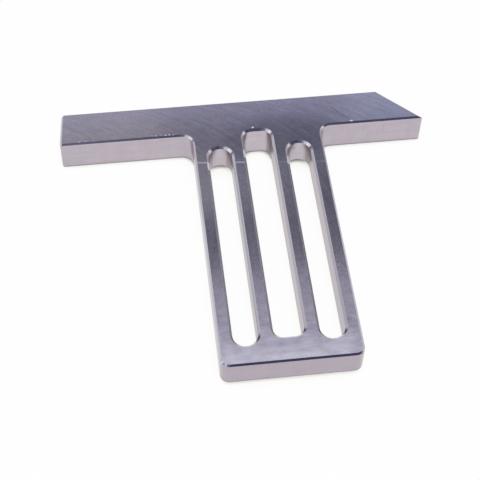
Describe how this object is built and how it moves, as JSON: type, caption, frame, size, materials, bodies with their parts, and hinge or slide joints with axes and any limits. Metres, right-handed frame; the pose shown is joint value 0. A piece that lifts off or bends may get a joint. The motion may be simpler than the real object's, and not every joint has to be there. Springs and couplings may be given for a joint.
{
  "type": "slotted T-shaped plate",
  "caption": "One-piece milled aluminium T-plate: a crossbar with one mitred end and a thinner stem with long slots running through it.",
  "frame": {"origin": "middle of the footprint, at the height of the crossbar's underside", "axes": "+X along the crossbar towards its mitred end, -Y along the stem away from the crossbar, +Z out of the top face"},
  "size_m": [0.13, 0.1106, 0.012],
  "materials": {
    "milled_aluminium": "bare metal, face-milled top with arc marks, smooth end-milled walls, chamfered edges"
  },
  "bodies": {
    "root": {"slotted_tee_plate": "milled_aluminium"}
  },
  "joints": []
}
